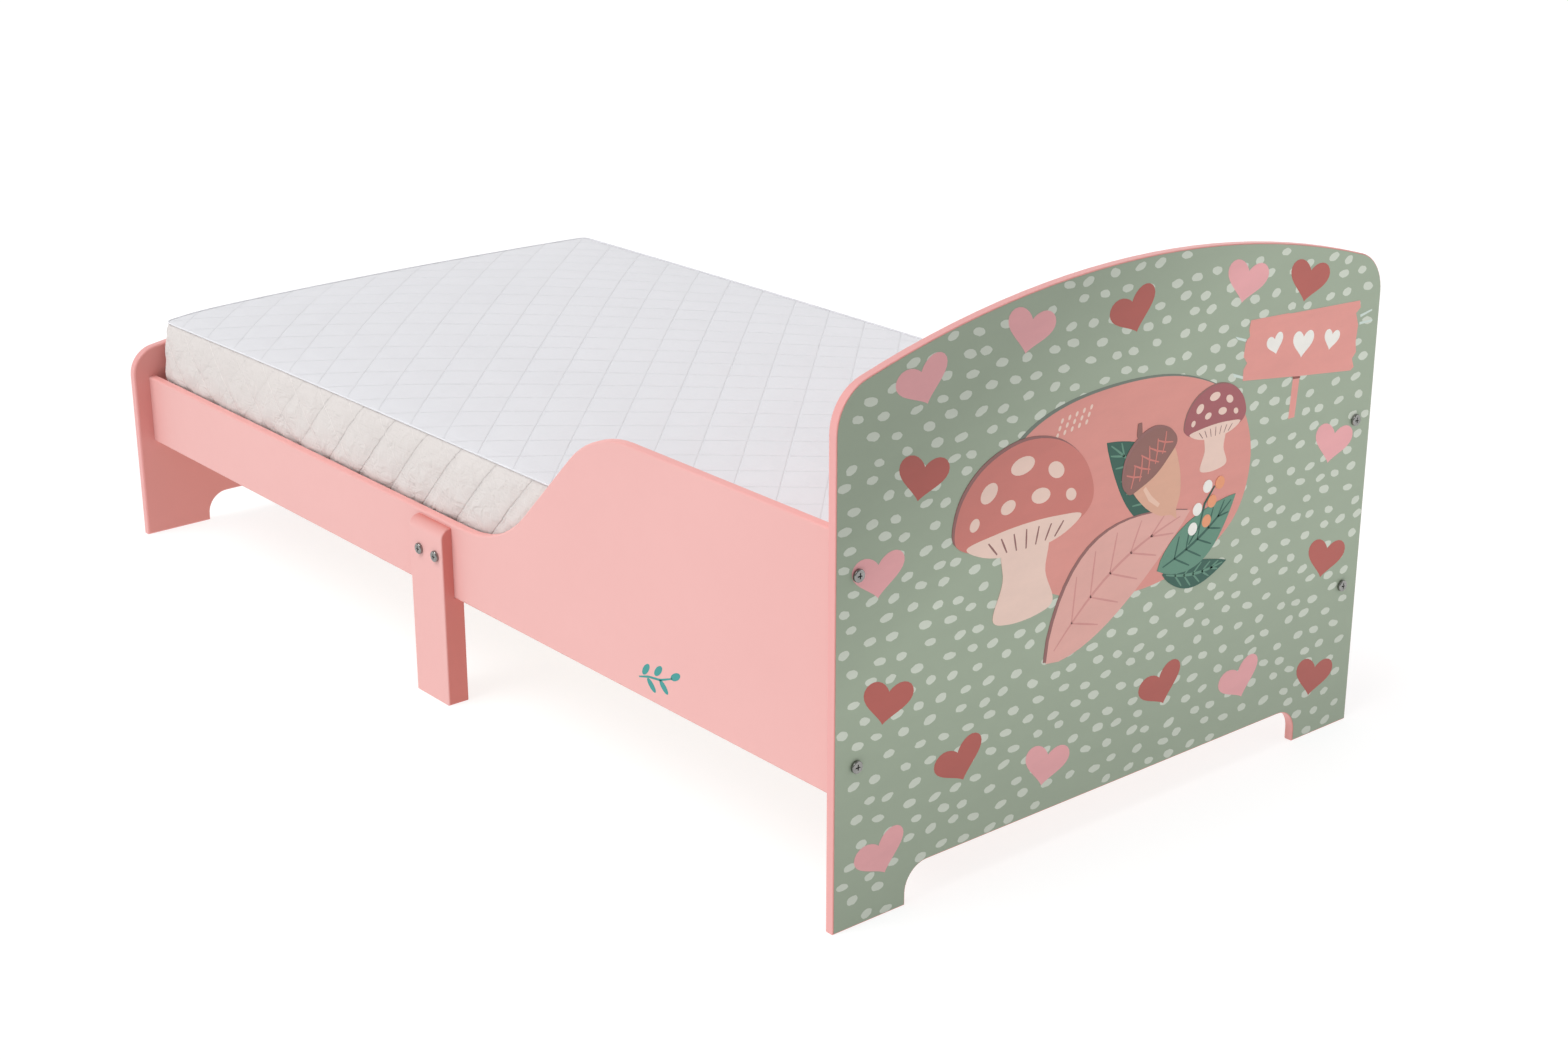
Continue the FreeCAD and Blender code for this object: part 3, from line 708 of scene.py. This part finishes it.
def print_woodland():
    """The middle picture: toadstools, leaves, berries and an acorn on a salmon disc."""
    disc = smooth_loop([(-189, 388), (-174, 424), (-138, 455), (-80, 472), (0, 476), (70, 468),
                        (130, 446), (168, 416), (186, 368), (180, 320), (156, 286), (108, 262),
                        (30, 250), (-60, 262), (-140, 300), (-180, 345)])
    ink_piece("print_disc_shadow", [moved(disc, -4, 3)], "shadow", 2)
    ink_piece("print_disc", [disc], "salmon", 3)
    flecks = [ellipse((-104 + 10 * column + 3 * row, 442 + 7 * row + 1.5 * column), 1.7, 2.8, -25, 10)
              for row in range(3) for column in range(5)]
    ink_piece("print_flecks", flecks, "cream", 4)
    print_leaves()
    print_mushroom("print_mushroom", (-142, 262), 1.0, "cap", 10)
    print_mushroom("print_little_mushroom", (128, 356), 0.5, "rose", 6)
    print_acorn()
    print_berries()


def print_rail_mark():
    """A small teal sprig near the guard's lower edge."""
    twig = stroke([(384, 152), (400, 157), (420, 160), (440, 168)], 2.6)
    leaves = [ellipse((396, 164), 9, 4, 50), ellipse((405, 149), 9, 4, -40), ellipse((417, 169), 9, 4, 45),
              ellipse((426, 154), 9, 4, -40), ellipse((446, 172), 9, 4, 30)]
    ink_piece("rail_mark_twig", [twig], "teal", 2, on_near_rail)
    ink_piece("rail_mark_leaves", leaves, "teal", 2, on_near_rail)


def print_boards():
    """All that is printed: on both end boards' foils, and the small mark on the near rail."""
    boards = (("headboard", on_headboard, HEADBOARD_HEARTS, 11),
              ("footboard", on_footboard, FOOTBOARD_HEARTS, 12))
    for board, surface, _, seed in boards:
        ink_piece("print_spots_" + board, spots(board + "_print_foil", surface, seed), "spot", 1, surface)
    for board, surface, hearts, _ in boards:
        print_hearts(board, hearts, surface)
    print_plaque()
    print_woodland()
    print_rail_mark()


# ---- the quilted mattress ----
# The cover's box: how far it stays inside the CAD box, and its corners' radius in plan.
END_INSET = 8.0 * MM
SIDE_INSET = 6.5 * MM
TOP_DROP = 4.0 * MM
LIFT = 0.5 * MM
CORNER = 11.0 * MM
# The cage that settles, and how many times finer the cover is.
COARSE = 20.0 * MM
SIDE_ROWS = 5
FINER = 4
# The settling, and how far the top and the sides may swell.
SETTLE_FRAMES = 20
CLOTH_QUALITY = 6
CLOTH_MASS = 0.4
CLOTH_STIFFNESS = 25
CLOTH_BENDING = 2.0
FOAM_PRESSURE = 4.0
TOP_CROWN = 10.0 * MM
SIDE_BULGE = 4.5 * MM
BULGE_LIMIT = 1.15
BULGE_PERCENTILE = 95
# The slump: a high head end, and a foot end with its near corner low and tucked in.
FOOT_DROP = 3.5 * MM
HEAD_RISE = 9.5 * MM
END_CROWN = 4.0 * MM
RISE_LENGTH = 550.0 * MM
NEAR_REACH = 120.0 * MM
CORNER_TUCK = 3.5 * MM
CORNER_REACH = 40.0 * MM
# The quilting: padding, small creases, and which family of sewn lines is tighter.
QUILT_VALLEY = 7.0 * MM
TOP_QUILT = 1.2 * MM
SIDE_QUILT = 2.4 * MM
TOP_PUCKER = 0.4 * MM
SIDE_PUCKER = 1.3 * MM
TOP_PUCKER_SCALE = 38.0
SIDE_PUCKER_SCALE = 60.0
TOP_PULL = 0.45
PULL_SWING = 0.32
PULL_CHANGES = -250.0 * MM
PULL_FADE = 140.0 * MM
# The border: drawn in along its seams, fuller at the ends and low on the long sides.
SEAM_FADE = 9.0 * MM
SEAM_GROOVE = 1.6 * MM
GROOVE_SHARPNESS = 1.8
END_FILL = 2.4 * MM
LOW_FILL = 2.4 * MM
LOW_FILL_HEIGHT = 14.0 * MM
PIPING_RADIUS = 1.2 * MM
PIPING_OUT = 0.4 * PIPING_RADIUS
PIPING_UP = 0.6 * PIPING_RADIUS
PIPING_STEPS = 8


def square_to_round(x, y, half_length, half_width):
    """A point of a rectangle, moved so that the rectangle's corners are rounded."""
    inner_x, inner_y = half_length - CORNER, half_width - CORNER
    u, v = (abs(x) - inner_x) / CORNER, (abs(y) - inner_y) / CORNER
    if u <= 0 or v <= 0:
        return x, y
    round_x = inner_x + CORNER * u * math.sqrt(1 - v * v / 2)
    round_y = inner_y + CORNER * v * math.sqrt(1 - u * u / 2)
    return math.copysign(round_x, x), math.copysign(round_y, y)


class Cage:
    """A closed box of near-square cells: a top sheet, a bottom sheet and rows round the sides."""

    def __init__(self, low, high, nx, ny, rows):
        self.low, self.high = low, high
        self.centre = (low + high) / 2
        self.half = (high - low) / 2
        self.nx, self.ny, self.rows = nx, ny, rows
        self.rim = ([(i, 0) for i in range(nx)] + [(nx, j) for j in range(ny)]
                    + [(i, ny) for i in range(nx, 0, -1)] + [(0, j) for j in range(ny, 0, -1)])
        self.sheet_count = (nx + 1) * (ny + 1)

    def sheet(self, i, j, bottom=False):
        """The vertex at a place on the top or the bottom sheet."""
        return self.sheet_count * bottom + i * (self.ny + 1) + j

    def side(self, step, row):
        """The vertex at a step round the rim, on a row counted down from the top."""
        step %= len(self.rim)
        if row in (0, self.rows):
            return self.sheet(*self.rim[step], row == self.rows)
        return 2 * self.sheet_count + (row - 1) * len(self.rim) + step

    def sheet_faces(self, bottom):
        faces = []
        for i in range(self.nx):
            for j in range(self.ny):
                corners = (i, j), (i + 1, j), (i + 1, j + 1), (i, j + 1)
                ring = [self.sheet(a, b, bottom) for a, b in corners]
                faces.append(ring[::-1] if bottom else ring)
        return faces

    def side_faces(self):
        faces = []
        for row in range(self.rows):
            for step in range(len(self.rim)):
                faces.append([self.side(step, row), self.side(step, row + 1),
                              self.side(step + 1, row + 1), self.side(step + 1, row)])
        return faces

    def faces(self):
        return self.sheet_faces(False) + self.sheet_faces(True) + self.side_faces()

    def points(self):
        """Where the vertices are before any swelling."""
        plan = []
        for i in range(self.nx + 1):
            for j in range(self.ny + 1):
                x, y = (2 * i / self.nx - 1) * self.half.x, (2 * j / self.ny - 1) * self.half.y
                x, y = square_to_round(x, y, self.half.x, self.half.y)
                plan.append((x + self.centre.x, y + self.centre.y))
        heights = np.linspace(self.high.z, self.low.z, self.rows + 1)
        points = [(x, y, heights[0]) for x, y in plan] + [(x, y, heights[-1]) for x, y in plan]
        for height in heights[1:-1]:
            points += [plan[self.sheet(*place)] + (height,) for place in self.rim]
        return np.array(points)

    def split(self, values):
        """Values of the vertices as a top sheet, a bottom sheet, and rows of the sides."""
        sheets = values[:2 * self.sheet_count].reshape(2, self.nx + 1, self.ny + 1, -1)
        steps = range(len(self.rim))
        sides = [[values[self.side(step, row)] for step in steps] for row in range(self.rows + 1)]
        return sheets[0], sheets[1], np.array(sides)

    def join(self, top, bottom, sides):
        """The values that were split, in the vertices' order again."""
        parts = (top, bottom, sides[1:-1])
        return np.concatenate([part.reshape(-1, top.shape[-1]) for part in parts])


def refined(values, around=False):
    """Values along the first axis with smooth values between them."""
    count = len(values)
    spans = count if around else count - 1
    place = np.arange(spans * FINER + (not around)) / FINER
    index = np.minimum(place.astype(int), spans - 1)
    t = (place - index).reshape(-1, *[1] * (values.ndim - 1))

    def at(step):
        return values[(index + step) % count] if around else values[np.clip(index + step, 0, count - 1)]

    return between(*(at(step) for step in (-1, 0, 1, 2)), t)


def new_object(name, points, faces, *finishes):
    """A smooth-shaded mesh in the scene, with these materials."""
    mesh = bpy.data.meshes.new(name)
    mesh.from_pydata([tuple(p) for p in points], [], faces)
    for finish in finishes:
        mesh.materials.append(MATERIAL[finish])
    mesh.polygons.foreach_set("use_smooth", [True] * len(mesh.polygons))
    return linked(name, mesh)


def mesh_points(mesh):
    """The mesh's vertices as an array."""
    flat = np.empty(len(mesh.vertices) * 3)
    mesh.vertices.foreach_get("co", flat)
    return flat.reshape(-1, 3)


def outward_of(rim_points):
    """The level direction out of each rim point."""
    along = np.roll(rim_points, -1, axis=0) - np.roll(rim_points, 1, axis=0)
    out = np.stack([along[:, 1], -along[:, 0], np.zeros(len(along))], axis=1)
    return out / np.linalg.norm(out, axis=1, keepdims=True)


def settled_swell(cage):
    """How far the cover moves when the foam presses it out, by cloth simulation."""
    points = cage.points()
    trial = new_object("mattress_trial", points, cage.faces(), "foam")
    held = trial.vertex_groups.new(name="held")
    bottom = range(cage.sheet_count, 2 * cage.sheet_count)
    rim = [cage.side(step, 0) for step in range(len(cage.rim))]
    held.add([*bottom, *rim], 1.0, "REPLACE")
    cloth = trial.modifiers.new("press", "CLOTH")
    cloth.settings.quality = CLOTH_QUALITY
    cloth.settings.mass = CLOTH_MASS
    cloth.settings.tension_stiffness = CLOTH_STIFFNESS
    cloth.settings.compression_stiffness = CLOTH_STIFFNESS
    cloth.settings.bending_stiffness = CLOTH_BENDING
    cloth.settings.use_pressure = True
    cloth.settings.uniform_pressure_force = FOAM_PRESSURE
    cloth.settings.vertex_group_mass = "held"
    cloth.settings.effector_weights.gravity = 0
    cloth.point_cache.frame_start = 1
    cloth.point_cache.frame_end = SETTLE_FRAMES
    for number in range(1, SETTLE_FRAMES + 1):
        bpy.context.scene.frame_set(number)
    settled = trial.evaluated_get(bpy.context.evaluated_depsgraph_get())
    shift = mesh_points(settled.to_mesh()) - points
    settled.to_mesh_clear()
    bpy.data.objects.remove(trial)
    bpy.context.scene.frame_set(1)
    return shift


def limited(cage, shift):
    """The settled shift, scaled so that its crown and its bulge are those named above."""
    top, bottom, sides = cage.split(shift)
    top = top * TOP_CROWN / top[..., 2].max()
    middle = sides[1:-1]
    usual = np.percentile(np.abs(middle[..., :2]).max(-1), BULGE_PERCENTILE)
    sides[1:-1] = middle * SIDE_BULGE / usual
    reach = np.linalg.norm(sides, axis=-1, keepdims=True)
    sides *= np.minimum(1.0, SIDE_BULGE * BULGE_LIMIT / np.maximum(reach, 1e-9))
    return cage.join(top, bottom, sides)


def slumped(cage, points):
    """The points as the cover slumps: high at the head end, low and tucked in at the foot's near corner."""
    x, y, z = points.T
    up = np.clip((z - cage.low.z) / (cage.high.z - cage.low.z), 0, 1)
    footward = np.exp(-(x - cage.low.x) / RISE_LENGTH)
    near = np.exp(-(y - cage.low.y) / NEAR_REACH)
    from_corner = np.hypot(cage.half.x - np.abs(x), cage.half.y - np.abs(y))
    tuck = CORNER_TUCK * near * np.exp(-(from_corner / CORNER_REACH) ** 2) * up ** 6
    rise = HEAD_RISE * (1 - footward) - FOOT_DROP * footward * near
    rise += END_CROWN * footward * (1 - (y / cage.half.y) ** 2)
    return np.stack([x - np.sign(x) * tuck, y - np.sign(y) * tuck, z + up * rise - tuck / 2], axis=1)


def quilted(across, down, pull):
    """The height of the padding between two crossing families of sewn lines, 0 to 1.

    The pull, 0 to 1, says how much tighter the first family is sewn than the second."""
    height = 1.0
    for line, tight in ((across + down, pull), (across - down, 1 - pull)):
        away = np.abs((line / QUILT_PITCH + 0.5) % 1.0 - 0.5) * QUILT_PITCH / math.sqrt(2)
        height = height * (1 - np.minimum(PULL_GAIN * tight, 1) * np.exp(-(away / QUILT_VALLEY) ** 2))
    return height


def border_pull(x):
    """Which family of the border's lines is tighter, at a place along the mattress."""
    return 0.5 - PULL_SWING * np.tanh((x - PULL_CHANGES) / PULL_FADE)


def puckers(across, down, scale):
    """Small creases in the cloth, drawn in by the sewing: soft patches, and sharper slanting folds."""
    values = np.empty(len(across))
    for k, (s, t) in enumerate(zip(across, down)):
        broad = noise.noise((s * scale, t * scale, 0.3))
        sharp = 0.3 - abs(noise.noise(((s + t) * scale * 1.6, (s - t) * scale * 0.8, 5.1)))
        values[k] = broad + sharp
    return values


def filled_in(coarse, fine, shift):
    """The coarse cage's shift, made smooth on the fine cage."""
    top, bottom, sides = coarse.split(shift)
    top, bottom = (refined(refined(sheet).transpose(1, 0, 2)).transpose(1, 0, 2) for sheet in (top, bottom))
    sides = refined(refined(sides).transpose(1, 0, 2), around=True).transpose(1, 0, 2)
    return fine.join(top, bottom, sides)


def quilt_top(cage, top):
    """Pads the top sheet between its sewn lines. It stays flat along the seam."""
    points = top.reshape(-1, 3)
    x, y = points[:, 0], points[:, 1]
    edge = np.minimum(cage.half.x - np.abs(x), cage.half.y - np.abs(y))
    hold = 1 - np.exp(-(np.maximum(edge, 0) / SEAM_FADE) ** 2)
    pad = TOP_QUILT * quilted(x, y, TOP_PULL) + TOP_PUCKER * puckers(x, y, TOP_PUCKER_SCALE)
    points[:, 2] += hold * pad
    return points.reshape(top.shape)


def quilt_sides(cage, sides, out, run):
    """Pads the border between its sewn lines, and draws it in along both seams."""
    rim = sides[0]
    for row in range(1, cage.rows):
        down = sides[row][:, 2]
        near = np.minimum(rim[:, 2] - down, down - cage.low.z)
        hold = 1 - np.exp(-(near / SEAM_FADE) ** 2)
        pad = SIDE_QUILT * quilted(run[:-1], down, border_pull(rim[:, 0]))
        pad += SIDE_PUCKER * puckers(run[:-1], down, SIDE_PUCKER_SCALE)
        pad += END_FILL * np.abs(out[:, 0])
        pad += LOW_FILL * np.abs(out[:, 1]) * np.exp(-((down - cage.low.z) / LOW_FILL_HEIGHT - 1) ** 2)
        groove = SEAM_GROOVE * np.exp(-(near / SEAM_FADE * GROOVE_SHARPNESS) ** 2)
        sides[row] += out * (hold * pad - groove)[:, None]


def mattress():
    """The cover swollen by its foam, slumped and quilted, with the foam in it and piping on its seams."""
    low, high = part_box("mattress_cover")
    low = low + Vector((END_INSET, SIDE_INSET, LIFT))
    high = high - Vector((END_INSET, SIDE_INSET, TOP_DROP))
    nx, ny = round((high.x - low.x) / COARSE), round((high.y - low.y) / COARSE)
    coarse = Cage(low, high, nx, ny, SIDE_ROWS)
    fine = Cage(low, high, nx * FINER, ny * FINER, SIDE_ROWS * FINER)
    shift = limited(coarse, settled_swell(coarse))
    top, bottom, sides = fine.split(slumped(fine, fine.points() + filled_in(coarse, fine, shift)))
    rim = sides[0]
    out = outward_of(rim)
    run = np.concatenate([[0], np.cumsum(np.linalg.norm(np.roll(rim, -1, axis=0) - rim, axis=1))])
    top = quilt_top(fine, top)
    quilt_sides(fine, sides, out, run)
    points = fine.join(top, bottom, sides)

    piece = new_object("mattress_quilted_cover", points, fine.faces(), "top_cloth", "side_cloth")
    dress_mattress(piece, fine, run)
    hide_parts("mattress_cover")
    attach(piece, "mattress")
    foam_block(coarse, shift)
    piping("mattress_piping_top", sides[0] + out * PIPING_OUT)
    piping("mattress_piping_bottom", sides[-1] + out * PIPING_OUT + np.array((0, 0, PIPING_UP)))


def dress_mattress(piece, fine, run):
    """The border's own cloth, and each corner's place on the flat cloth for the sewing and the weave."""
    sheets = 2 * fine.nx * fine.ny
    mesh = piece.data
    finish = [0] * sheets + [1] * (len(mesh.polygons) - sheets)
    mesh.polygons.foreach_set("material_index", finish)
    points = mesh_points(mesh)
    heights = np.linspace(fine.high.z, fine.low.z, fine.rows + 1)
    cloth = mesh.attributes.new("cloth", "FLOAT_VECTOR", "CORNER")
    places = []
    for polygon in mesh.polygons[:sheets]:
        places += [(*points[v][:2], TOP_PULL) for v in polygon.vertices]
    pull = border_pull(fine.split(points)[2][0][:, 0])
    for row in range(fine.rows):
        for step in range(len(fine.rim)):
            a, b, up, down = run[step], run[step + 1], heights[row], heights[row + 1]
            here, ahead = pull[step], pull[(step + 1) % len(pull)]
            places += [(a, up, here), (a, down, here), (b, down, ahead), (b, up, ahead)]
    cloth.data.foreach_set("vector", np.array(places).ravel())


def foam_block(cage, shift):
    """The foam inside the cover, one cover thickness in from it."""
    points = slumped(cage, cage.points() + shift)
    wall = wall_between("mattress_cover", "mattress_core")
    centre = np.array(cage.centre)
    half = np.array(cage.half)
    points = centre + (points - centre) * (half - np.array(wall)) / half
    piece = new_object("mattress_foam", points, cage.faces(), "foam")
    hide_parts("mattress_core")
    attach(piece, "mattress")


def wall_between(outer, inner):
    """How far one node's box lies inside another's, along each axis."""
    outer_low, outer_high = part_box(outer)
    inner_low, inner_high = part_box(inner)
    return ((outer_high - outer_low) - (inner_high - inner_low)) / 2


def piping(name, path):
    """A round cord of cloth sewn into the seam."""
    points, faces = [], []
    for centre, side in zip(path, outward_of(path)):
        for k in range(PIPING_STEPS):
            angle = 2 * math.pi * k / PIPING_STEPS
            points.append(centre + side * PIPING_RADIUS * math.cos(angle)
                          + np.array((0, 0, PIPING_RADIUS * math.sin(angle))))
    count = len(path)
    for i in range(count):
        here, ahead = i * PIPING_STEPS, (i + 1) % count * PIPING_STEPS
        for k in range(PIPING_STEPS):
            beside = (k + 1) % PIPING_STEPS
            faces.append((here + k, ahead + k, ahead + beside, here + beside))
    piece = new_object(name, points, faces, "piping_cloth")
    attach(piece, "mattress")


# ---- studio ----
CAMERA_AIM = Vector((0.1814, 0.0, 0.1681))
CAMERA_AZIMUTH = 50.13
CAMERA_ELEVATION = 20.46
CAMERA_DISTANCE = 2.958
CAMERA_LENS = 57.82
KEY_STRENGTH = 2.25
KEY_SPREAD = 40
KEY_FROM = (-12, 57)
HORIZON_BAND = (0.05, 0.35)
HORIZON_STRENGTH = 0.75
OVERHEAD_STRENGTH = 0.22
BACK_LIGHT_FROM = (-0.55, 0.85, 0.3)
BACK_LIGHT_STRENGTH = 0.5
SIDE_BOX_PLACE = (1.75, 1.3, 0.9)
SIDE_BOX_AIM = (0.72, 0.38, 0.35)
SIDE_BOX_WATTS = 3.5
SIDE_BOX_SIZE = 1.0
FLOOR_REACH = 40


def from_side(azimuth, elevation):
    """A direction towards the viewer. Azimuth 0 looks along +Y."""
    a, e = math.radians(azimuth), math.radians(elevation)
    return Vector((math.sin(a) * math.cos(e), -math.cos(a) * math.cos(e), math.sin(e)))


def faced(made, direction):
    """Turns a camera or a lamp so that it looks from a direction."""
    made.rotation_euler = direction.to_track_quat("Z", "Y").to_euler()


def camera():
    made = linked("camera", bpy.data.cameras.new("camera"))
    made.data.lens = CAMERA_LENS
    direction = from_side(CAMERA_AZIMUTH, CAMERA_ELEVATION)
    made.location = CAMERA_AIM + direction * CAMERA_DISTANCE
    faced(made, direction)
    bpy.context.scene.camera = made


def key_light():
    """A very broad soft light over the near side."""
    lamp = bpy.data.lights.new("key", "SUN")
    lamp.energy = KEY_STRENGTH
    lamp.angle = math.radians(KEY_SPREAD)
    faced(linked("key", lamp), from_side(*KEY_FROM))


def side_box():
    """A weak soft light near the headboard's far side."""
    lamp = bpy.data.lights.new("side_box", "AREA")
    lamp.shape = "SQUARE"
    lamp.size = SIDE_BOX_SIZE
    lamp.energy = SIDE_BOX_WATTS
    made = linked("side_box", lamp)
    made.location = SIDE_BOX_PLACE
    faced(made, Vector(SIDE_BOX_PLACE) - Vector(SIDE_BOX_AIM))


def surroundings():
    """Soft light from all round: bright at the horizon, dimmer overhead, and more from behind."""
    world = bpy.data.worlds.new("studio")
    world.use_nodes = True
    sky = Nodes(world.node_tree)
    way = sky.node("TexCoord", {}).outputs["Generated"]
    fade = sky.ramp(sky.split(way)["Z"], *HORIZON_BAND, HORIZON_STRENGTH, OVERHEAD_STRENGTH)
    behind = Vector(BACK_LIGHT_FROM).normalized()
    lean = sky.node("VectorMath", {0: way, 1: behind}, operation="DOT_PRODUCT").outputs["Value"]
    back = sky.spread(lean, 0.0, BACK_LIGHT_STRENGTH)
    background = world.node_tree.nodes["Background"]
    background.inputs["Color"].default_value = (1, 1, 1, 1)
    sky.feed(background.inputs["Strength"], sky.calc("ADD", fade, back))
    bpy.context.scene.world = world


def studio():
    """The floor, the lights and the soft surroundings."""
    corners = [(x * FLOOR_REACH, y * FLOOR_REACH, 0) for x, y in ((-1, -1), (1, -1), (1, 1), (-1, 1))]
    floor = new_object("studio_floor", corners, [(0, 1, 2, 3)], "floor")
    key_light()
    side_box()
    surroundings()
    bpy.context.scene.view_settings.view_transform = "Standard"


dress_cad_pieces()
print_boards()
mattress()
studio()
camera()
